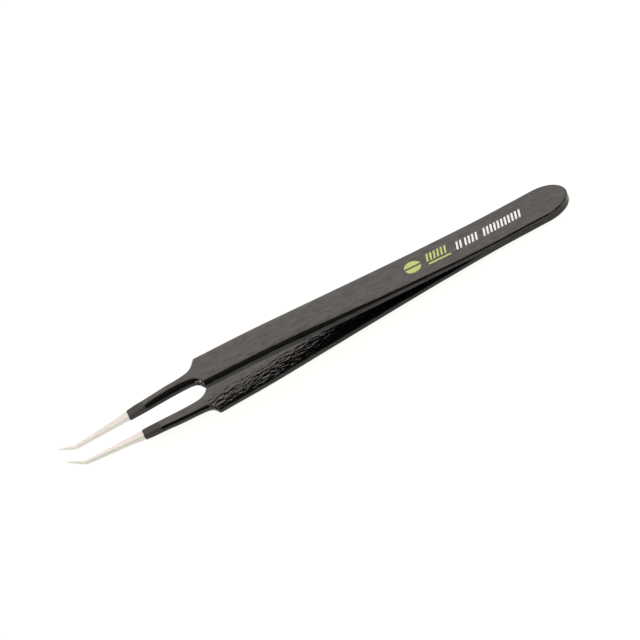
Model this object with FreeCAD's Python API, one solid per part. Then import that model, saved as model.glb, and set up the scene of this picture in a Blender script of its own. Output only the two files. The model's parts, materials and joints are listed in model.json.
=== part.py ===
import FreeCAD, Part
import math
import os

from FreeCAD import Vector

# Precision tweezers with bent needle points.
#
# Two spring steel blades lie back to back and are spot welded at the heel.
# Each one bows outwards, swells towards a shoulder, then narrows to a neck
# and a fine needle whose point is bent sideways.  A black epoxy coating
# covers everything but the needles, and carries two printed markings.
#
# The blades are drawn about the plane between them: X runs from the needle
# points (negative) to the butt (zero), Y across the width, Z through the
# thickness.  "distance" always means distance from the butt along the blade.
# At the end the assembly is laid down on its lower blade, so that the table
# is Z = 0 and the origin is under the middle of the object.

# ---- driving dimensions, millimetres and degrees ----
LENGTH = 115.0              # butt to needle point
HANDLE_WIDTH = 9.16         # over the coating
BUTT_ROUNDING = 6.0         # length of the half ellipse that ends the heel
STEEL = 0.88                # blade thickness at the heel
COAT = 0.12                 # coating thickness
WELD_END = 14.0             # the blades touch from the butt to here

SHOULDER = 82.2             # where the straight handle edge stops
CORNER_LENGTH = 0.75        # small rounding between handle edge and hollow
CORNER_DEPTH = 0.45
HOLLOW = ((1.25, 1.5), (2.2, 2.4))      # past the shoulder, in from the edge
NECK_START = 88.5
NECK_WIDTH = 3.2            # over the coating, at NECK_START
NECK_SHIFT = -0.33          # the neck and needle run this far off the middle
COAT_END_WIDTH = 2.6        # over the coating, at its front end
UPPER_COAT_END = 99.2
LOWER_COAT_END = 98.65

BEND_AT = 111.5             # where the needle's centre line turns sideways
BEND_ANGLE = 34.0
BEND_RADIUS = 1.5
BEND_WIDTH = 0.78           # needle width at the bend
BEND_TAPER = 0.07           # part of that width lost in each half of the bend
POINT_WIDTH = 0.20

HANDLE_SLOPE = 0.45         # fall of the outer face towards its long edges
NECK_SLOPE = 0.66
NECK_BEVELS_FROM = 86.5     # the neck has bevels of its own between these
NECK_BEVELS_TO = 104.0

HINGE_AT = 26.0             # where the arms are taken to flex
HINGE_SLIT = 0.05

WELD_SPOTS = (5.0, 10.5)
WELD_RADIUS = 1.3
WELD_DEPTH = 0.15           # into each blade

INK = 0.03
MARK_HEIGHT = 2.35          # of the slanted bars, across the blade
BAR_WIDTH = 0.42
BAR_PITCH = 0.80
BAR_SLANT = 0.55
WHITE_BARS = ((10.1, 11), (19.9, 4), (23.4, 2))      # first bar, number of bars
YELLOW_BARS = ((26.7, 6),)
YELLOW_BAR_MIDDLE = 0.7     # towards the far side
UNDERLINE = (26.6, 31.5, -1.35, 0.5)                 # from, to, middle across, width
DOT_AT = 34.7
DOT_RADIUS = 1.8
DOT_GAP = 0.55              # straight gap that splits the dot in two

# Side view of a blade: distance, height of its inner face above the middle
# plane, thickness of the steel on its centre line, height of its upright sides.
STATIONS = (
    (WELD_END, 0.00, STEEL, 0.53),
    (28.0, 0.41, 0.91, 0.56),
    (44.0, 1.17, 1.18, 0.76),
    (60.0, 2.12, 1.48, 0.88),
    (72.0, 2.86, 1.47, 0.82),
    (82.0, 3.20, 1.44, 0.74),
    (90.0, 3.10, 1.61, 0.70),
    (96.0, 2.77, 1.33, 0.70),
    (100.0, 2.64, 0.97, 0.66),
    (106.0, 2.38, 0.74, 0.62),
    (112.0, 2.09, 0.54, 0.62),
    (LENGTH + 1.0, 1.82, 0.15, 0.62),
)

HALF_WIDTH = HANDLE_WIDTH / 2
FAR = 30.0                  # well outside the object
BEYOND = 2.0                # how far cutting shapes reach past the blade


def side_point(distance, height):
    return Vector(-distance, 0, height)


def plan_point(distance, across):
    return Vector(-distance, across, 0)


def line(start, end):
    return Part.LineSegment(start, end).toShape()


def spline(points, start_tangent, end_tangent):
    curve = Part.BSplineCurve()
    curve.interpolate(Points=points, InitialTangent=start_tangent, FinalTangent=end_tangent)
    return curve.toShape()


def face_of(edges):
    wire = Part.Wire(Part.__sortEdges__(edges))
    return Part.Face(wire)


# ---- side view ----

def side_curve(heights):
    """Straight along the welded heel, then one smooth curve to the point."""
    points = []
    for station, height in zip(STATIONS, heights):
        points.append(side_point(station[0], height))
    last_slope = points[-1] - points[-2]
    butt = side_point(-BEYOND, heights[0])
    return [line(butt, points[0]), spline(points, Vector(-1, 0, 0), last_slope)]


def ends(edges):
    """First and last point of a side curve."""
    return edges[0].Vertexes[0].Point, edges[-1].Vertexes[-1].Point


def between(lower, upper):
    """Face between two side curves."""
    lower_butt, lower_tip = ends(lower)
    upper_butt, upper_tip = ends(upper)
    return face_of(lower + upper + [line(lower_butt, upper_butt), line(lower_tip, upper_tip)])


def inner_heights(offset):
    return [inner - offset for _, inner, _, _ in STATIONS]


def crown_heights(offset):
    return [inner + thickness + offset for _, inner, thickness, _ in STATIONS]


def side_heights(offset):
    return [inner + side + offset for _, inner, _, side in STATIONS]


def side_prism(lower, upper):
    """Band between two side curves, across the whole width."""
    band = between(lower, upper)
    band.translate(Vector(0, -FAR, 0))
    return band.extrude(Vector(0, 2 * FAR, 0))


def bevel_prism(offset, edge, slope, side):
    """Space below the outer face, which falls away towards the long edge."""
    far_below = [-FAR] * len(STATIONS)
    region = between(side_curve(far_below), side_curve(side_heights(offset)))
    reach = HANDLE_WIDTH + BEYOND
    region.translate(Vector(0, edge, 0))
    return region.extrude(Vector(0, -side * reach, reach * slope))


# ---- plan view ----

def butt_arc(inset):
    centre = plan_point(BUTT_ROUNDING, 0)
    apex = plan_point(inset, 0)
    flank = plan_point(BUTT_ROUNDING, HALF_WIDTH - inset)
    ellipse = Part.Ellipse(apex, flank, centre)
    return Part.ArcOfEllipse(ellipse, -math.pi / 2, math.pi / 2).toShape()


def flank_edges(inset, side):
    """One long edge: straight handle, small corner, hollow shoulder."""
    def place(distance, across):
        return plan_point(distance - inset, side * (across - inset))

    handle_end = place(SHOULDER, HALF_WIDTH)
    corner_middle = place(SHOULDER + 0.6 * CORNER_LENGTH, HALF_WIDTH - 0.3 * CORNER_DEPTH)
    corner_end = place(SHOULDER + CORNER_LENGTH, HALF_WIDTH - CORNER_DEPTH)
    hollow = [corner_end]
    hollow += [place(SHOULDER + past, HALF_WIDTH - depth) for past, depth in HOLLOW]
    hollow.append(place(NECK_START, NECK_WIDTH / 2) + Vector(0, NECK_SHIFT, 0))
    return [
        line(plan_point(BUTT_ROUNDING, side * (HALF_WIDTH - inset)), handle_end),
        Part.Arc(handle_end, corner_middle, corner_end).toShape(),
        spline(hollow, Vector(-0.5, -side, 0), Vector(-1, -side * 0.03, 0)),
    ]


def coated_plan(coat_end):
    """Outline of the coated blade, cut square at the front of the coating."""
    front = []
    for side in (1, -1):
        neck = plan_point(NECK_START, side * NECK_WIDTH / 2 + NECK_SHIFT)
        front.append((neck, plan_point(coat_end, side * COAT_END_WIDTH / 2 + NECK_SHIFT)))
    edges = [butt_arc(0)] + flank_edges(0, 1) + flank_edges(0, -1)
    edges += [line(neck, tip) for neck, tip in front]
    edges.append(line(front[0][1], front[1][1]))
    return edges


def needle_path():
    """Centre line of the needle as (distance, across, direction) marks."""
    turn = math.radians(BEND_ANGLE)
    reach = BEND_RADIUS * math.tan(turn / 2)
    centre = (BEND_AT - reach, BEND_RADIUS + NECK_SHIFT)
    marks = []
    for angle in (0, turn / 2, turn):
        distance = centre[0] + BEND_RADIUS * math.sin(angle)
        across = centre[1] - BEND_RADIUS * math.cos(angle)
        marks.append((distance, across, angle))
    point_across = (LENGTH - BEND_AT) * math.tan(turn) + NECK_SHIFT
    marks.append((LENGTH, point_across, turn))
    return marks


def needle_edges(side):
    """One side of the needle from the neck to its point."""
    widths = [BEND_WIDTH * (1 - BEND_TAPER * part) for part in (0, 1, 2)] + [POINT_WIDTH]
    start = plan_point(NECK_START - COAT, side * (NECK_WIDTH / 2 - COAT) + NECK_SHIFT)
    points = []
    for (distance, across, direction), width in zip(needle_path(), widths):
        shift = side * width / 2
        x = distance - shift * math.sin(direction)
        points.append(plan_point(x, across + shift * math.cos(direction)))
    return [
        line(start, points[0]),
        Part.Arc(points[0], points[1], points[2]).toShape(),
        line(points[2], points[3]),
    ]


def steel_plan():
    """Outline of the bare blade, out to the needle point."""
    far = needle_edges(1)
    near = needle_edges(-1)
    far_tip = far[-1].Vertexes[-1].Point
    near_tip = near[-1].Vertexes[-1].Point
    middle = (far_tip + near_tip) / 2
    turn = math.radians(BEND_ANGLE)
    apex = middle + Vector(-math.cos(turn), math.sin(turn), 0) * (POINT_WIDTH / 2)
    edges = [butt_arc(COAT)] + flank_edges(COAT, 1) + flank_edges(COAT, -1)
    return edges + far + near + [Part.Arc(far_tip, apex, near_tip).toShape()]


def plan_prism(edges):
    plan = face_of(edges)
    plan.translate(Vector(0, 0, -FAR))
    return plan.extrude(Vector(0, 0, 2 * FAR))


# ---- upper blade and its coating, before they are divided ----

def bevelled(body, offset, width, middle, slope):
    """The body with both long edges of its outer face bevelled."""
    half_width = width / 2 - COAT + offset
    for side in (1, -1):
        edge = middle + side * half_width
        body = body.common(bevel_prism(offset, edge, slope, side))
    return body


def shaped(plan_edges, offset):
    """Common part of the plan and the side view, with handle and neck bevelled."""
    band = side_prism(side_curve(inner_heights(offset)), side_curve(crown_heights(offset)))
    body = plan_prism(plan_edges).common(band)
    handle = body.common(slab(-BEYOND, NECK_BEVELS_FROM, -FAR, FAR))
    neck = body.common(slab(NECK_BEVELS_FROM, NECK_BEVELS_TO, -FAR, FAR))
    needle = body.common(slab(NECK_BEVELS_TO, LENGTH + BEYOND, -FAR, FAR))
    handle = bevelled(handle, offset, HANDLE_WIDTH, 0, HANDLE_SLOPE)
    neck = bevelled(neck, offset, NECK_WIDTH, NECK_SHIFT, NECK_SLOPE)
    return handle.fuse([neck] + needle.Solids).removeSplitter()


def slab(distance_from, distance_to, low, high):
    """Box that spans the width between two distances and two heights."""
    corner = Vector(-distance_to, -FAR, low)
    return Part.makeBox(distance_to - distance_from, 2 * FAR, high - low, corner)


def flipped(shape):
    """The same piece on the other side of the middle plane."""
    return shape.mirror(Vector(0, 0, 0), Vector(0, 0, 1))


def heel_part(shape):
    return shape.common(slab(-BEYOND, HINGE_AT - HINGE_SLIT / 2, -FAR, FAR))


def arm_part(shape):
    return shape.common(slab(HINGE_AT + HINGE_SLIT / 2, LENGTH + BEYOND, -FAR, FAR))


def above_middle(shape):
    return shape.common(slab(-BEYOND, LENGTH + BEYOND, 0, FAR))


# ---- small pieces ----

def spot_weld(distance):
    """Fused nugget between the blades: a flat disc."""
    return Part.makeCylinder(WELD_RADIUS, 2 * WELD_DEPTH, side_point(distance, -WELD_DEPTH))


def spot_welds():
    return [spot_weld(distance) for distance in WELD_SPOTS]


def upright(corners):
    """Upright prism over a polygon of (distance, across) corners."""
    points = [plan_point(distance, across) for distance, across in corners]
    face = Part.Face(Part.makePolygon(points + points[:1]))
    return face.extrude(Vector(0, 0, FAR))


def slanted_bars(groups, middle):
    """Rows of equal bars: each group is (first distance, number of bars)."""
    half = MARK_HEIGHT / 2
    bars = []
    for first, count in groups:
        for index in range(count):
            near = first + index * BAR_PITCH
            far = near + BAR_SLANT
            bars.append(upright((
                (near, middle + half),
                (near + BAR_WIDTH, middle + half),
                (far + BAR_WIDTH, middle - half),
                (far, middle - half),
            )))
    return bars


def underline():
    start, end, middle, width = UNDERLINE
    low = middle - width / 2
    high = middle + width / 2
    return upright(((start, low), (end, low), (end, high), (start, high)))


def split_dot():
    """Round dot with a straight gap along the blade."""
    dot = Part.makeCylinder(DOT_RADIUS, FAR, plan_point(DOT_AT, 0))
    gap = Part.makeBox(4 * DOT_RADIUS, DOT_GAP, FAR)
    gap.translate(plan_point(DOT_AT + 2 * DOT_RADIUS, -DOT_GAP / 2))
    return dot.cut(gap)


def printed(prisms):
    """The prisms, cut down to the thin layer of ink on the outer face."""
    layer = side_prism(side_curve(crown_heights(COAT)), side_curve(crown_heights(COAT + INK)))
    solids = []
    for prism in prisms:
        solids += prism.common(layer).Solids
    return Part.makeCompound(solids)


# ---- assembly ----

def build():
    """All the pieces by name, drawn about the middle plane."""
    steel = above_middle(shaped(steel_plan(), 0))
    upper_skin = above_middle(shaped(coated_plan(UPPER_COAT_END), COAT))
    lower_skin = flipped(above_middle(shaped(coated_plan(LOWER_COAT_END), COAT)))
    lower_steel = flipped(steel)
    welds = spot_welds()
    weld_group = Part.makeCompound(welds)

    heel_skin = heel_part(upper_skin).fuse(heel_part(lower_skin))
    upper_heel = heel_part(steel).cut(weld_group)
    lower_heel = heel_part(lower_steel).cut(weld_group)
    heel_steel = [heel_part(steel), heel_part(lower_steel)]
    yellow = slanted_bars(YELLOW_BARS, YELLOW_BAR_MIDDLE) + [underline(), split_dot()]
    return {
        "upper_blade_heel": upper_heel,
        "lower_blade_heel": lower_heel,
        "spot_welds": weld_group,
        "heel_coating": heel_skin.cut(heel_steel).removeSplitter(),
        "white_marking": printed(slanted_bars(WHITE_BARS, 0)),
        "upper_blade": arm_part(steel),
        "upper_arm_coating": arm_part(upper_skin).cut(steel),
        "yellow_marking": printed(yellow),
        "lower_blade": arm_part(lower_steel),
        "lower_arm_coating": arm_part(lower_skin).cut(lower_steel),
    }


def resting_placement(pieces):
    """Lay the tweezers on the lower blade: heel and shoulder both touch Z = 0."""
    heel_depth = STEEL + COAT
    tilt = 0
    for distance, inner, thickness, _ in STATIONS:
        rise = inner + thickness + COAT - heel_depth
        tilt = max(tilt, math.degrees(math.atan2(rise, distance)))
    turned = Part.makeCompound(list(pieces.values()))
    turned.rotate(Vector(0, 0, 0), Vector(0, 1, 0), tilt)
    box = turned.optimalBoundingBox()
    shift = Vector(-box.Center.x, -box.Center.y, -box.ZMin)
    return FreeCAD.Placement(shift, FreeCAD.Rotation(Vector(0, 1, 0), tilt))


def main():
    pieces = build()
    placement = resting_placement(pieces)
    os.makedirs("parts", exist_ok=True)
    for name, shape in pieces.items():
        placed = shape.copy()
        placed.transformShape(placement.toMatrix())
        placed.exportStep("parts/" + name + ".step")


main()
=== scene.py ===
import json
import math

import bmesh
import bpy
import numpy as np
from mathutils import Matrix, Vector, noise


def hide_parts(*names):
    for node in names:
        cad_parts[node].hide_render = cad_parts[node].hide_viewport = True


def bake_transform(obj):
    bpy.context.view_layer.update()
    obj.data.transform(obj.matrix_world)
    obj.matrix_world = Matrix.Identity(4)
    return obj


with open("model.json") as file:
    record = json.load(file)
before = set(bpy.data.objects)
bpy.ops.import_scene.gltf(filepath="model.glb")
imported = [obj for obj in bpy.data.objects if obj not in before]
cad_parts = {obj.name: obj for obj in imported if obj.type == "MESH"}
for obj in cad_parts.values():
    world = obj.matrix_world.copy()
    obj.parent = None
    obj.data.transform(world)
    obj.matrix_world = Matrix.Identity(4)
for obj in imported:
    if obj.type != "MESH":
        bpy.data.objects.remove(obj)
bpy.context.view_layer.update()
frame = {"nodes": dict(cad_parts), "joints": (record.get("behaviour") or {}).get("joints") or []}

# Looks of a pair of coated precision tweezers with bent needle points.
#
# Every shape is worked out in the blades' own frame, in millimetres: distance
# from the butt towards the points, across the width (positive to the side the
# points are bent to), and height above the plane between the two blades.
# place() then carries it into the row frame, where the tweezers lie on a table.

MM = 0.001

# ---- sizes shared with the design ----
LENGTH = 115.0
HALF_WIDTH = 4.58
BUTT = 6.0
COAT = 0.12
HINGE_AT = 26.0
ARM_START = 26.03
UPPER_COAT_END = 99.2
LOWER_COAT_END = 98.65
SHOULDER = 82.2
CORNER_LENGTH = 0.75        # rounded shoulder corner, along and across the blade
CORNER_DEPTH = 0.45
CORNER_PULL = 0.45          # pull of its curve along the handle
CORNER_LEAN = (0.14, 0.28)  # and back from its lower end, along and across
HOLLOWS = {1: (2.6, 3.7), -1: (2.1, 4.3)}    # pull of the curve at its two ends
NECK_START = 88.5
NECK_HALF = 1.60
NECK_SHIFT = -0.33
COAT_END_HALF = 1.30
BEND_AT = 111.5
BEND_ANGLE = math.radians(34.0)
BEND_RADIUS = 1.5
BEND_HALF = 0.40
BEND_TAPER = 0.05           # the half width lost around the bend
POINT_HALF = 0.09

# ---- shapes finer than the design ----
TOUCHING_EDGE = 0.05        # inner edge radius where the blades touch
HANDLE_EDGE = 0.25          # what it gains where they are apart
NECK_EDGE = 0.30            # and what it gains again on the necks
SQUARE_INSET = 0.4          # depth over which a rounding follows the outline
INNER_BULGE = 0.20          # crown of the inner face of a handle
LIP = 0.22                  # rounding of the coating's front end
MATT_LENGTH = 4.1           # dull front end of the coating
RIPPLE_HEIGHT = 0.005
RIPPLE_SIZE = 1.3
WRINKLED_FROM = 52.0        # the wrinkles grow from here
WRINKLED_OVER = 22.0
BARE_FROM = 96.0            # the steel's coated shape fades out from here
BARE_OVER = 3.0
BARE_ROUNDING = 0.07        # outer rounding of bare steel, as a share of its size
BARE_RADIUS = 0.12          # greatest inner radius of bare steel
LEAST_RADIUS = 0.03

# ---- fineness of the meshes ----
COATING_ROWS = 460          # rows of points along one coating
COATING_FACE_POINTS = 19    # points across one of its flat faces
STEEL_ROWS = 230            # along the blade's outline up to its neck
STEEL_FACE_POINTS = 9
NEEDLE_GAP = 0.4            # from the last row of the outline to the first of these
NEEDLE_ROWS = 70
BEND_ROWS = 12
POINT_ROWS = 22
LIP_ROWS = 6
INNER_EDGE_POINTS = 5
OUTER_EDGE_POINTS = 11
CURVE_POINTS = 60

# Distance, height of the inner steel face, steel thickness on the centre line.
STATIONS = (
    (14.0, 0.00, 0.88),
    (28.0, 0.41, 0.91),
    (44.0, 1.17, 1.18),
    (60.0, 2.12, 1.48),
    (72.0, 2.86, 1.47),
    (82.0, 3.20, 1.44),
    (90.0, 3.10, 1.61),
    (96.0, 2.77, 1.33),
    (100.0, 2.64, 0.97),
    (106.0, 2.38, 0.74),
    (112.0, 2.09, 0.54),
    (116.0, 1.82, 0.15),
)

# Rounding of the outer edges over the coating: distance, breadth, height.
EDGES = (
    (0.0, 0.30, 0.30),
    (28.0, 0.50, 0.32),
    (44.0, 1.30, 0.43),
    (52.0, 1.80, 0.58),
    (62.0, 2.05, 0.72),
    (72.0, 1.85, 0.74),
    (82.0, 1.40, 0.85),
    (84.5, 1.20, 0.92),
    (88.0, 1.35, 1.15),
    (93.0, 1.30, 1.00),
    (95.6, 1.05, 0.72),
    (97.0, 0.75, 0.46),
    (100.0, 0.65, 0.42),
)

# ---- the camera, seen from the near long edges ----
ELEVATION = 40.25            # above the plane between the blades
ROLL = 28.35
VIEW_DISTANCE = 500.0
LENS = 139.2
AIM = (0.76, 1.41)          # aim point right of and above the middle, mm

FLEX_FROM = 14.0            # the blades bend between these two distances
FLEX_TO = 38.0

# ---- light around the object, by direction: -1 to 1 along X, Y and Z ----
BELOW = -1.2                # past every direction downwards
BEYOND = 2.0                # and past every direction the other way
PANEL_GLOW = 2.0
LOW_GLOW = 0.35
OVERHEAD_GLOW = 0.12
ROOM_GLOW = 0.035
LAMPS = (                   # from X, to X, from Z, to Z, greatest Y, strength
    (-0.92, -0.72, 0.44, 0.58, 0.2, 9.0),
    (0.72, 0.92, 0.44, 0.58, 0.2, 9.0),
    (0.36, 0.52, 0.54, 0.66, 0.0, 7.0),
)
FLOOR_REACH = 6.0           # half the side of the floor, in metres

# ---- finishes ----
BLACK = (0.0030, 0.0029, 0.0025)
MATT_BLACK = (0.028, 0.026, 0.024)
STEEL_DARK = (0.69, 0.675, 0.65)
STEEL_LIGHT = (0.97, 0.955, 0.93)
WRINKLE_DEPTH = (0.000010, 0.000180)    # smooth and wrinkled coating, in metres
WRINKLE_BEND = 0.9          # how far the wrinkles wander, in millimetres
WRINKLES_PER_MM = 1.3
GRAIN_DEPTH = (0.000003, 0.000020)      # glossy and matt coating
GRINDING_DEPTH = 0.000012


# ---- frames and curves ----

def blade_frame():
    """Matrix from the blades' frame to the row frame, from the two hinges."""
    joints = {joint["name"]: joint for joint in frame["joints"]}
    upper = Vector(joints["upper_arm_flex"]["pos_m"])
    lower = Vector(joints["lower_arm_flex"]["pos_m"])
    up = (upper - lower).normalized()
    across = Vector((0, 1, 0))
    along = across.cross(up)
    butt = (upper + lower) / 2 + along * HINGE_AT * MM
    columns = Matrix((along, across, up)).transposed()
    return Matrix.Translation(butt) @ columns.to_4x4()


FRAME = np.array(blade_frame())


def place(points):
    """(distance, across, height) in mm to row frame metres."""
    local = np.array(points, float)
    local[..., 0] *= -1
    return (local * MM) @ FRAME[:3, :3].T + FRAME[:3, 3]


def smoothstep(x):
    x = np.clip(x, 0, 1)
    return x * x * (3 - 2 * x)


def natural_curve(knots, values):
    """Smooth curve through the values: level at its start, free at its end."""
    knots = np.asarray(knots, float)
    values = np.asarray(values, float)
    gap = np.diff(knots)
    slope = np.diff(values) / gap
    count = len(knots)
    system = np.zeros((count, count))
    right = np.zeros(count)
    system[0, 0:2] = 2 * gap[0], gap[0]
    right[0] = 6 * slope[0]
    system[-1, -1] = 1
    for i in range(1, count - 1):
        system[i, i - 1:i + 2] = gap[i - 1], 2 * (gap[i - 1] + gap[i]), gap[i]
        right[i] = 6 * (slope[i] - slope[i - 1])
    bend = np.linalg.solve(system, right)

    def at(distance):
        x = np.clip(distance, knots[0], knots[-1])
        i = np.clip(np.searchsorted(knots, x) - 1, 0, count - 2)
        a = (knots[i + 1] - x) / gap[i]
        b = 1 - a
        cubic = (a ** 3 - a) * bend[i] + (b ** 3 - b) * bend[i + 1]
        return a * values[i] + b * values[i + 1] + cubic * gap[i] ** 2 / 6

    return at


STATION_COLUMNS = list(zip(*STATIONS))
inner_steel = natural_curve(STATION_COLUMNS[0], STATION_COLUMNS[1])
crown_steel = natural_curve(
    STATION_COLUMNS[0], [a + b for a, b in zip(STATION_COLUMNS[1], STATION_COLUMNS[2])]
)


def edge_breadth(distance):
    return np.interp(distance, [e[0] for e in EDGES], [e[1] for e in EDGES])


def edge_height(distance):
    return np.interp(distance, [e[0] for e in EDGES], [e[2] for e in EDGES])


def inner_radius(distance):
    """Rounding of the inner edges over the coating, sharp where the blades touch."""
    parted = smoothstep((float(inner_steel(distance)) - COAT) / 0.3)
    on_neck = smoothstep((distance - SHOULDER + 0.7) / 2.5)
    return TOUCHING_EDGE + HANDLE_EDGE * parted + NECK_EDGE * on_neck


def inner_bulge(distance):
    """Slight crown of the inner faces where the blades are wide and apart."""
    parted = smoothstep((float(inner_steel(distance)) - 0.3) / 1.2)
    return INNER_BULGE * parted * (1 - smoothstep((distance - SHOULDER) / 6))


def bezier(points, count):
    """Cubic curve from the first of four points to the last."""
    t = np.linspace(0, 1, count)[:, None]
    s = 1 - t
    a, b, c, d = [np.array(p, float) for p in points]
    return s ** 3 * a + 3 * s ** 2 * t * b + 3 * s * t ** 2 * c + t ** 3 * d


def respace(points, count):
    """The same line with evenly spaced points."""
    lengths = np.r_[0, np.cumsum(np.linalg.norm(np.diff(points, axis=0), axis=1))]
    at = np.linspace(0, lengths[-1], count)
    return np.stack([np.interp(at, lengths, points[:, k]) for k in range(2)], 1)


def coated_outline(end, side, count):
    """One long edge of the coating in plan, from the butt to its front end."""
    angle = np.linspace(0, math.pi / 2, CURVE_POINTS)
    butt = np.stack([BUTT * (1 - np.cos(angle)), HALF_WIDTH * np.sin(angle)], 1)
    corner = (SHOULDER + CORNER_LENGTH, HALF_WIDTH - CORNER_DEPTH)
    neck = (NECK_START, NECK_HALF + side * NECK_SHIFT)
    rounding = bezier((
        (SHOULDER, HALF_WIDTH),
        (SHOULDER + CORNER_PULL, HALF_WIDTH),
        (corner[0] - CORNER_LEAN[0], corner[1] + CORNER_LEAN[1]),
        corner,
    ), CURVE_POINTS // 3)
    steep, level = HOLLOWS[side]
    hollow = bezier((
        corner,
        (corner[0] + steep / 2, corner[1] - steep),
        (neck[0] - level, neck[1] + 0.03 * level),
        neck,
    ), CURVE_POINTS)
    front = np.array([(end, COAT_END_HALF + side * NECK_SHIFT)])
    line = respace(np.concatenate([butt, rounding, hollow[1:], front]), count)
    line[:, 1] *= side
    return line


def inward(points, side):
    """Unit normals of an outline, pointing into the blade."""
    tangent = np.gradient(points, axis=0)
    tangent[0] = (0, side)
    tangent /= np.linalg.norm(tangent, axis=1)[:, None]
    return side * np.stack([tangent[:, 1], -tangent[:, 0]], 1)


# ---- cross sections ----

def inset(point, normal, amount, side):
    """Step in from an edge: square to the outline first, then straight across."""
    square = min(amount, SQUARE_INSET)
    return (
        point[0] + normal[0] * square,
        point[1] + normal[1] * square - side * (amount - square),
    )


def edge_points(pair, side, inner, shoulder, breadth, height, radius):
    """One long edge of a cross section, from its inner face to its outer face."""
    point, normal = pair
    points = []
    for angle in np.linspace(math.pi / 2, 0, INNER_EDGE_POINTS):
        amount = radius * (1 - math.cos(angle))
        z = inner + radius * (1 - math.sin(angle))
        points.append((*inset(point, normal, amount, side), z))
    low = inner + radius
    for share in (0.33, 0.67):
        points.append((point[0], point[1], low + share * (shoulder - low)))
    for angle in np.linspace(0, math.pi / 2, OUTER_EDGE_POINTS):
        amount = breadth * (1 - math.cos(angle))
        z = shoulder + height * math.sin(angle)
        points.append((*inset(point, normal, amount, side), z))
    return points


def section(left, right, inner, shoulder, breadth, height, radius, bulge, face_points):
    """One closed loop: crowned inner face, two rounded edges and the outer face.

    left and right are (point, inward normal) pairs in plan, shoulder is the
    height where the upright side ends and the outer rounding begins, and bulge
    is how far the middle of the inner face stands out.
    """
    left_edge = edge_points(left, 1, inner, shoulder, breadth, height, radius)
    right_edge = edge_points(right, -1, inner, shoulder, breadth, height, radius)
    shares = np.linspace(0, 1, face_points + 2)[1:-1]
    start = np.array(right_edge[0])
    stop = np.array(left_edge[0])
    loop = []
    for share in shares:
        point = start + (stop - start) * share
        point[2] -= bulge * 4 * share * (1 - share)
        loop.append(tuple(point))
    loop += left_edge
    start = np.array(left_edge[-1])
    stop = np.array(right_edge[-1])
    loop += [tuple(start + (stop - start) * share) for share in shares]
    loop += right_edge[::-1]
    return np.array(loop)


def skin(name, loops, flip):
    """Closed mesh through a row of equal loops, with a fan over both ends."""
    count = len(loops[0])
    points = np.concatenate(loops)
    ends = np.array([loops[0].mean(0), loops[-1].mean(0)])
    points = np.concatenate([points, ends])
    faces = []
    for row in range(len(loops) - 1):
        for k in range(count):
            after = (k + 1) % count
            a = row * count + k
            b = row * count + after
            faces.append((a, b, b + count, a + count))
    first, last = len(points) - 2, len(points) - 1
    base = (len(loops) - 1) * count
    for k in range(count):
        after = (k + 1) % count
        faces.append((after, k, first))
        faces.append((base + k, base + after, last))
    if flip:
        faces = [face[::-1] for face in faces]
    return add_mesh(name, place(points), faces)


def add_mesh(name, points, faces):
    mesh = bpy.data.meshes.new(name)
    mesh.from_pydata([tuple(p) for p in points], [], faces)
    mesh.validate()
    mesh.polygons.foreach_set("use_smooth", [True] * len(mesh.polygons))
    piece = bpy.data.objects.new(name, mesh)
    bpy.context.scene.collection.objects.link(piece)
    return piece


def add_mask(piece, name, values):
    """One number per mesh point, for a material to read."""
    layer = piece.data.attributes.new(name, "FLOAT", "POINT")
    layer.data.foreach_set("value", np.asarray(values, float))


def vertex_values(piece, kind):
    """The "co" or the "normal" of every mesh point, one row each."""
    values = np.zeros(len(piece.data.vertices) * 3)
    piece.data.vertices.foreach_get(kind, values)
    return values.reshape(-1, 3)


def local_points(piece):
    """Mesh points as (distance, across, height) in mm."""
    local = (vertex_values(piece, "co") - FRAME[:3, 3]) @ FRAME[:3, :3] / MM
    local[:, 0] *= -1
    return local


def weld_points(piece, distance=2e-7):
    """Join points that lie together, such as the two sides at the butt."""
    bm = bmesh.new()
    bm.from_mesh(piece.data)
    bmesh.ops.remove_doubles(bm, verts=bm.verts, dist=distance)
    bmesh.ops.dissolve_degenerate(bm, edges=bm.edges, dist=distance)
    bmesh.ops.recalc_face_normals(bm, faces=bm.faces)
    bm.to_mesh(piece.data)
    bm.free()
    piece.data.polygons.foreach_set("use_smooth", [True] * len(piece.data.polygons))


def ripple(piece, height, size):
    """Gentle unevenness of a dipped coating, in the mesh itself."""
    points = vertex_values(piece, "co")
    shift = []
    for point in points / (size * MM):
        coarse = noise.noise(Vector(point))
        fine = noise.noise(Vector(point * 2.3))
        shift.append(coarse + 0.5 * fine)
    points += vertex_values(piece, "normal") * (np.array(shift) * height * MM)[:, None]
    piece.data.vertices.foreach_set("co", points.ravel())
    piece.data.update()


# ---- coating ----

def coating_loop(far, near, shrink=0.0):
    """Cross section of the coating, drawn in by shrink for its front lip."""
    distance = (far[0][0] + near[0][0]) / 2
    half = (far[0][1] - near[0][1]) / 2
    middle = (far[0][1] + near[0][1]) / 2
    inner = max(0.0, float(inner_steel(distance)) - COAT)
    crown = float(crown_steel(distance)) + COAT
    height = float(edge_height(distance))
    loop = section(
        far,
        near,
        inner=inner,
        shoulder=crown - height,
        breadth=min(float(edge_breadth(distance)), 0.93 * half + 0.02),
        height=height,
        radius=inner_radius(distance),
        bulge=inner_bulge(distance),
        face_points=COATING_FACE_POINTS,
    )
    if shrink:
        centre = np.array([distance, middle, (inner + crown) / 2])
        scale = np.array([1, 1 - shrink / half, 1 - 2 * shrink / (crown - inner)])
        loop = centre + (loop - centre) * scale
    return loop


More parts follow.
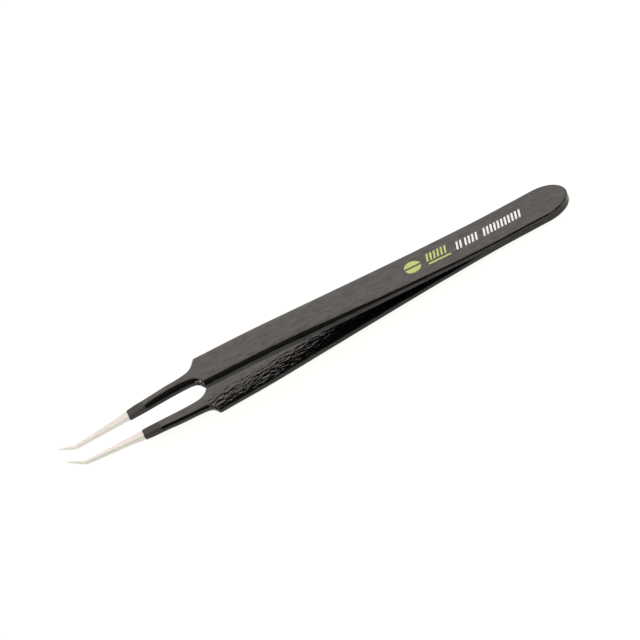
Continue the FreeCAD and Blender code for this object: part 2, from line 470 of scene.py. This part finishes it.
def coating(name, side, end):
    """Coating of one blade, from the butt to its rounded front lip."""
    left = coated_outline(end, 1, COATING_ROWS)
    right = coated_outline(end, -1, COATING_ROWS)
    left_normals = inward(left, 1)
    right_normals = inward(right, -1)
    body = np.flatnonzero((left[:, 0] < end - LIP) & (right[:, 0] < end - LIP))
    loops = []
    for row in body:
        far = (left[row], left_normals[row])
        near = (right[row], right_normals[row])
        loops.append(coating_loop(far, near))
    last = body[-1]
    for angle in np.linspace(0.3, math.pi / 2, LIP_ROWS):
        distance = end - LIP + LIP * math.sin(angle)
        far = (np.array([distance, left[last][1]]), np.array([0.0, -1.0]))
        near = (np.array([distance, right[last][1]]), np.array([0.0, 1.0]))
        loops.append(coating_loop(far, near, LIP * (1 - math.cos(angle))))
    for loop in loops:
        loop[:, 2] *= side
    piece = skin(name, loops, side < 0)
    weld_points(piece)
    ripple(piece, RIPPLE_HEIGHT, RIPPLE_SIZE)
    add_mask(piece, "rough", wrinkling(piece))
    add_mask(piece, "matt", smoothstep((local_points(piece)[:, 0] - end + MATT_LENGTH) / 0.4))
    return piece


def wrinkling(piece):
    """How wrinkled the coating is: most on the near half of its inner face."""
    distance, across, height = local_points(piece).T
    above_inner = np.abs(height) - np.maximum(0, inner_steel(distance) - COAT)
    inside = 1 - smoothstep((above_inner - 0.05) / 0.35)
    inside *= 0.15 + 0.85 * smoothstep((0.7 - across) / 1.4)
    inside *= 0.45 + 0.55 * smoothstep((distance - WRINKLED_FROM) / WRINKLED_OVER)
    level = np.abs(vertex_values(piece, "normal") @ FRAME[:3, 2])
    upright = 1 - smoothstep((level - 0.90) / 0.08)
    sides = (0.55 - 0.42 * smoothstep(across + 0.5)) * upright
    on_neck = smoothstep((distance - SHOULDER - 0.8) / 2.2)
    return np.maximum(inside, sides) * (1 - 0.95 * on_neck)


# ---- steel ----

def steel_rows():
    """Left and right edge of the steel in plan, from the arm's start to the point."""
    rows = []
    left = coated_outline(NECK_START + 0.01, 1, STEEL_ROWS)
    right = coated_outline(NECK_START + 0.01, -1, STEEL_ROWS)
    left_normals = inward(left, 1)
    right_normals = inward(right, -1)
    for row in np.flatnonzero((left[:, 0] > ARM_START) & (right[:, 0] > ARM_START)):
        far = (left[row] + left_normals[row] * COAT, left_normals[row])
        near = (right[row] + right_normals[row] * COAT, right_normals[row])
        rows.append((far, near))
    reach = BEND_RADIUS * math.tan(BEND_ANGLE / 2)
    start_half = NECK_HALF - COAT
    straight_to = BEND_AT - reach
    for distance in np.linspace(NECK_START + NEEDLE_GAP, straight_to, NEEDLE_ROWS):
        share = (distance - NECK_START) / (straight_to - NECK_START)
        half = start_half + (BEND_HALF - start_half) * share
        rows.append(needle_row(distance, NECK_SHIFT, 0, half))
    for angle in np.linspace(0, BEND_ANGLE, BEND_ROWS)[1:]:
        distance = straight_to + BEND_RADIUS * math.sin(angle)
        across = NECK_SHIFT + BEND_RADIUS * (1 - math.cos(angle))
        half = BEND_HALF - BEND_TAPER * angle / BEND_ANGLE
        rows.append(needle_row(distance, across, angle, half))
    begin = (distance, across)
    length = (LENGTH - begin[0]) / math.cos(BEND_ANGLE)
    for share in np.linspace(0, 1, POINT_ROWS)[1:]:
        distance = begin[0] + share * length * math.cos(BEND_ANGLE)
        across = begin[1] + share * length * math.sin(BEND_ANGLE)
        half = (BEND_HALF - BEND_TAPER) * (1 - share) + POINT_HALF * share
        rows.append(needle_row(distance, across, BEND_ANGLE, half))
    return rows


def needle_row(distance, across, angle, half):
    """The two edge points of a needle where it runs at an angle, with inward normals."""
    lateral = np.array([-math.sin(angle), math.cos(angle)])
    centre = np.array([distance, across])
    return ((centre + lateral * half, -lateral), (centre - lateral * half, lateral))


def fade(coated, plain, bare):
    """From the value under the coating to the one of bare steel."""
    return coated * (1 - bare) + plain * bare


def blade_loop(left, right):
    """Cross section of the steel: under its coating first, then bare."""
    distance = (left[0][0] + right[0][0]) / 2
    half = np.linalg.norm(left[0] - right[0]) / 2
    inner = float(inner_steel(distance))
    crown = float(crown_steel(distance))
    thickness = crown - inner
    bare = float(smoothstep((distance - BARE_FROM) / BARE_OVER))
    breadth = fade(float(edge_breadth(distance)) - COAT, BARE_ROUNDING * half, bare)
    height = fade(float(edge_height(distance)) - COAT, BARE_ROUNDING * thickness, bare)
    coated_radius = max(LEAST_RADIUS, inner_radius(distance) - COAT + 0.02)
    bare_radius = min(BARE_RADIUS, 0.2 * half, 0.2 * thickness)
    return section(
        left,
        right,
        inner=inner,
        shoulder=crown - height,
        breadth=min(breadth, 0.9 * half),
        height=height,
        radius=fade(coated_radius, bare_radius, bare),
        bulge=inner_bulge(distance) * (1 - bare),
        face_points=STEEL_FACE_POINTS,
    )


def blade(name, side):
    """Steel of one arm, from the flexing part to the needle point."""
    loops = [blade_loop(left, right) for left, right in steel_rows()]
    tip = loops[-1]
    middle = tip.mean(0)
    forward = np.array([math.cos(BEND_ANGLE), math.sin(BEND_ANGLE), -0.1])
    for share in (0.55, 0.9):
        angle = share * math.pi / 2
        ring = (tip - middle) * math.cos(angle)
        loops.append(middle + ring + forward * POINT_HALF * math.sin(angle))
    for loop in loops:
        loop[:, 2] *= side
    piece = skin(name, loops, side < 0)
    weld_points(piece)
    return piece


# ---- nodes of materials and of the world ----

def feed(tree, socket, value):
    """Give an input a value of its own, or link it to another node's output."""
    if isinstance(value, bpy.types.NodeSocket):
        tree.links.new(value, socket)
    else:
        socket.default_value = value


def node(tree, kind, **inputs):
    """New node with its inputs fed; an underscore in a name stands for a space."""
    made = tree.nodes.new(kind)
    for key, value in inputs.items():
        feed(tree, made.inputs[key.replace("_", " ")], value)
    return made


def new_material(name):
    material = bpy.data.materials.new(name)
    material.use_nodes = True
    return material, material.node_tree


def finish(tree, **inputs):
    """Feed a material's main shader."""
    shader = tree.nodes["Principled BSDF"]
    for key, value in inputs.items():
        feed(tree, shader.inputs[key.replace("_", " ")], value)


def read_mask(tree, name):
    source = tree.nodes.new("ShaderNodeAttribute")
    source.attribute_name = name
    return source.outputs["Fac"]


def surface_points(tree, squeeze, turn=0.0):
    """Row frame position in mm, its X squeezed to draw a pattern out that way."""
    source = tree.nodes.new("ShaderNodeTexCoord")
    scaled = node(
        tree,
        "ShaderNodeMapping",
        Vector=source.outputs["Object"],
        Rotation=(0, 0, math.radians(turn)),
        Scale=(squeeze / MM, 1 / MM, 1 / MM),
    )
    return scaled.outputs["Vector"]


def cloud(tree, points, scale, detail, roughness=0.5):
    """Soft noise of about 0 to 1 with features of 1 / scale millimetres."""
    return node(
        tree,
        "ShaderNodeTexNoise",
        Vector=points,
        Scale=scale,
        Detail=detail,
        Roughness=roughness,
    )


def blend_value(tree, mask, plain, masked):
    """plain where the mask is 0, masked where it is 1."""
    mix = node(tree, "ShaderNodeMapRange", Value=mask, To_Min=plain, To_Max=masked)
    return mix.outputs["Result"]


def blend_colour(tree, mask, plain, masked):
    """plain where the mask is 0, masked where it is 1."""
    mix = tree.nodes.new("ShaderNodeMix")
    mix.data_type = "RGBA"
    feed(tree, mix.inputs["Factor"], mask)
    feed(tree, mix.inputs["A"], (*plain, 1))
    feed(tree, mix.inputs["B"], (*masked, 1))
    return mix.outputs["Result"]


def bumped(tree, height, distance, **below):
    """Normals of a surface raised by height times distance (in metres)."""
    bump = node(
        tree, "ShaderNodeBump", Strength=1.0, Distance=distance, Height=height, **below
    )
    return bump.outputs["Normal"]


def combined(tree, operation, values):
    """All the values added or multiplied together."""
    total = values[0]
    for value in values[1:]:
        made = tree.nodes.new("ShaderNodeMath")
        made.operation = operation
        feed(tree, made.inputs[0], total)
        feed(tree, made.inputs[1], value)
        total = made.outputs["Value"]
    return total


# ---- materials ----

def wrinkle_cells(tree, points):
    """Uneven cells with soft borders, 0 at their centres."""
    waves = cloud(tree, points, 1.5, 2.0)
    bent = tree.nodes.new("ShaderNodeVectorMath")
    bent.operation = "MULTIPLY_ADD"
    feed(tree, bent.inputs[0], waves.outputs["Color"])
    feed(tree, bent.inputs[1], (WRINKLE_BEND,) * 3)
    feed(tree, bent.inputs[2], points)
    cells = tree.nodes.new("ShaderNodeTexVoronoi")
    cells.feature = "SMOOTH_F1"
    feed(tree, cells.inputs["Vector"], bent.outputs["Vector"])
    feed(tree, cells.inputs["Scale"], WRINKLES_PER_MM)
    feed(tree, cells.inputs["Smoothness"], 0.20)
    return cells.outputs["Distance"]


def black_coating():
    """Glossy black epoxy: nearly smooth outside, wrinkled inside, matt front end."""
    material, tree = new_material("black_coating")
    matt = read_mask(tree, "matt")
    points = surface_points(tree, 0.48)
    grain = cloud(tree, points, 7.0, 2.0).outputs["Fac"]
    mottle = cloud(tree, surface_points(tree, 0.3, turn=62), 1.5, 3.0, 0.6).outputs["Fac"]
    depth = blend_value(tree, read_mask(tree, "rough"), *WRINKLE_DEPTH)
    wrinkled = bumped(tree, wrinkle_cells(tree, points), depth)
    grained = bumped(tree, grain, blend_value(tree, matt, *GRAIN_DEPTH), Normal=wrinkled)
    gloss = blend_value(tree, grain, 0.02, 0.13)
    finish(
        tree,
        IOR=1.5,
        Normal=grained,
        Roughness=blend_value(tree, matt, gloss, 0.62),
        Specular_IOR_Level=blend_value(tree, mottle, 0.18, 0.82),
        Base_Color=blend_colour(tree, matt, BLACK, MATT_BLACK),
    )
    return material


def blade_steel():
    """Stainless steel, ground along its length."""
    material, tree = new_material("blade_steel")
    lines = cloud(tree, surface_points(tree, 0.03), 9.0, 3.0, 0.6).outputs["Fac"]
    finish(
        tree,
        Metallic=1.0,
        Normal=bumped(tree, lines, GRINDING_DEPTH),
        Roughness=blend_value(tree, lines, 0.56, 0.76),
        Base_Color=blend_colour(tree, lines, STEEL_DARK, STEEL_LIGHT),
    )
    return material


def printed_ink(name, colour):
    """Matt ink with slightly uneven cover."""
    material, tree = new_material(name)
    cover = cloud(tree, surface_points(tree, 1.0), 3.0, 3.0, 0.6).outputs["Fac"]
    thin = [0.72 * part for part in colour]
    finish(tree, Roughness=0.6, Base_Color=blend_colour(tree, cover, thin, colour))
    return material


def weld_steel():
    """Dull heat-tinted steel of the hidden spot welds."""
    material, tree = new_material("weld_steel")
    tint = cloud(tree, surface_points(tree, 1.0), 1.5, 2.0).outputs["Fac"]
    ramp = node(tree, "ShaderNodeValToRGB", Fac=tint)
    ramp.color_ramp.elements[0].color = (0.30, 0.26, 0.22, 1)
    ramp.color_ramp.elements[1].color = (0.55, 0.54, 0.52, 1)
    finish(tree, Metallic=1.0, Roughness=0.55, Base_Color=ramp.outputs["Color"])
    return material


def floor_material():
    """Evenly lit white floor that keeps only a trace of the object's shadow."""
    material, tree = new_material("pale_floor")
    path = tree.nodes.new("ShaderNodeLightPath")
    finish(
        tree,
        Base_Color=(0.12, 0.12, 0.12, 1),
        Roughness=0.9,
        Specular_IOR_Level=0.0,
        Emission_Color=(1.0, 0.99, 0.955, 1),
        Emission_Strength=blend_value(tree, path.outputs["Is Glossy Ray"], 0.93, 0.88),
    )
    return material


# ---- stage: floor, light, camera ----

def add_floor():
    reach = FLOOR_REACH
    corners = [(-reach, -reach, 0), (reach, -reach, 0), (reach, reach, 0), (-reach, reach, 0)]
    floor = add_mesh("floor", corners, [(0, 1, 2, 3)])
    floor.data.materials.append(floor_material())


def soft_step(tree, value, border, soft, before, after):
    """Goes softly from before to after where value passes the border."""
    step = node(
        tree,
        "ShaderNodeMapRange",
        Value=value,
        From_Min=border - soft,
        From_Max=border + soft,
        To_Min=before,
        To_Max=after,
    )
    step.interpolation_type = "SMOOTHSTEP"
    return step.outputs["Result"]


def band(tree, value, low, high, soft):
    """1 where value lies between low and high, with soft borders."""
    rise = soft_step(tree, value, low, soft, 0.0, 1.0)
    fall = soft_step(tree, value, high, soft, 1.0, 0.0)
    return combined(tree, "MULTIPLY", [rise, fall])


def panel(tree, x, y, z):
    """Broad soft panel on the far side, weaker towards the floor."""
    fade = node(
        tree,
        "ShaderNodeMapRange",
        Value=z,
        From_Min=0.05,
        From_Max=0.60,
        To_Min=0.35,
        To_Max=1.0,
    )
    return combined(tree, "MULTIPLY", [
        band(tree, z, BELOW, 0.89, 0.03),
        band(tree, y, 0.40, BEYOND, 0.06),
        band(tree, x, -0.55, 0.55, 0.06),
        fade.outputs["Result"],
        PANEL_GLOW,
    ])


def lamp(tree, x, y, z, where):
    """Small bright patch on the near side."""
    from_x, to_x, from_z, to_z, to_y, glow = where
    return combined(tree, "MULTIPLY", [
        band(tree, x, from_x, to_x, 0.02),
        band(tree, z, from_z, to_z, 0.02),
        band(tree, y, -BEYOND, to_y, 0.05),
        glow,
    ])


def room_light(tree):
    """Strength of the light that comes from each direction."""
    direction = tree.nodes.new("ShaderNodeTexCoord").outputs["Generated"]
    parts = node(tree, "ShaderNodeSeparateXYZ", Vector=direction).outputs
    x, y, z = parts["X"], parts["Y"], parts["Z"]
    low = combined(tree, "MULTIPLY", [band(tree, z, BELOW, 0.22, 0.12), LOW_GLOW])
    overhead = combined(tree, "MULTIPLY", [band(tree, z, 0.95, BEYOND, 0.04), OVERHEAD_GLOW])
    lamps = [lamp(tree, x, y, z, where) for where in LAMPS]
    return combined(tree, "ADD", [panel(tree, x, y, z), low, *lamps, overhead, ROOM_GLOW])


def add_surroundings():
    """Studio light for the object; the camera itself sees plain white."""
    world = bpy.data.worlds.new("studio")
    bpy.context.scene.world = world
    world.use_nodes = True
    tree = world.node_tree
    tree.nodes.clear()
    light = node(
        tree, "ShaderNodeBackground", Color=(1.0, 0.93, 0.88, 1), Strength=room_light(tree)
    )
    plain = node(tree, "ShaderNodeBackground", Color=(0.97, 0.97, 0.97, 1))
    path = tree.nodes.new("ShaderNodeLightPath")
    mix = tree.nodes.new("ShaderNodeMixShader")
    feed(tree, mix.inputs["Fac"], path.outputs["Is Camera Ray"])
    feed(tree, mix.inputs[1], light.outputs["Background"])
    feed(tree, mix.inputs[2], plain.outputs["Background"])
    node(tree, "ShaderNodeOutputWorld", Surface=mix.outputs["Shader"])


def add_top_light():
    """Very soft light from above for the floor, kept out of reflections."""
    data = bpy.data.lights.new("top_light", "SUN")
    data.energy = 1.5
    data.angle = math.radians(100)
    light = bpy.data.objects.new("top_light", data)
    bpy.context.scene.collection.objects.link(light)
    light.visible_glossy = False


def add_camera():
    """Square to the blades' length, above the near long edges, rolled."""
    elevation = math.radians(ELEVATION)
    roll = math.radians(ROLL)
    turn = FRAME[:3, :3]
    back = turn @ np.array([0, -math.cos(elevation), math.sin(elevation)])
    right = turn @ np.array([1.0, 0, 0])
    up = turn @ np.array([0, math.sin(elevation), math.cos(elevation)])
    rolled_right = right * math.cos(roll) - up * math.sin(roll)
    rolled_up = right * math.sin(roll) + up * math.cos(roll)
    aim = place([LENGTH / 2, 0, 0]) + (rolled_right * AIM[0] + rolled_up * AIM[1]) * MM
    data = bpy.data.cameras.new("camera")
    data.lens = LENS
    data.clip_start = 0.01
    data.clip_end = 50
    camera = bpy.data.objects.new("camera", data)
    bpy.context.scene.collection.objects.link(camera)
    columns = Matrix((rolled_right, rolled_up, back)).transposed()
    location = Vector(aim + back * VIEW_DISTANCE * MM)
    camera.matrix_world = Matrix.Translation(location) @ columns.to_4x4()
    bpy.context.scene.camera = camera


# ---- put together ----

def dress(piece, material, nodes):
    """Give a new piece its material, hide the design pieces it replaces and bake its placement.
    """
    piece.data.materials.append(material)
    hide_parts(*nodes)
    start = tuple(place([FLEX_FROM, 0, 0]))
    end = tuple(place([FLEX_TO, 0, 0]))
    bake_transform(piece)


def add_arms(steel):
    """Coating and steel of the two arms, mirrored about the plane between them."""
    coat = black_coating()
    for name, side, end in (("upper", 1, UPPER_COAT_END), ("lower", -1, LOWER_COAT_END)):
        arm = name + "_arm"
        piece = coating(name + "_coating", side, end)
        dress(piece, coat, ("heel_coating", arm + "_coating"))
        piece = blade(name + "_needle_blade", side)
        dress(piece, steel, (name + "_blade",))


def finish_design_nodes(steel):
    """Materials of the pieces whose shape comes from the design."""
    finishes = {
        "upper_blade_heel": steel,
        "lower_blade_heel": steel,
        "spot_welds": weld_steel(),
        "white_marking": printed_ink("white_ink", (0.82, 0.86, 0.88)),
        "yellow_marking": printed_ink("yellow_ink", (0.50, 0.56, 0.16)),
    }
    for name, material in finishes.items():
        data = frame["nodes"][name].data
        data.materials.clear()
        data.materials.append(material)


def main():
    steel = blade_steel()
    add_arms(steel)
    finish_design_nodes(steel)
    add_floor()
    add_surroundings()
    add_top_light()
    add_camera()
    bpy.context.scene.view_settings.view_transform = "Standard"


main()
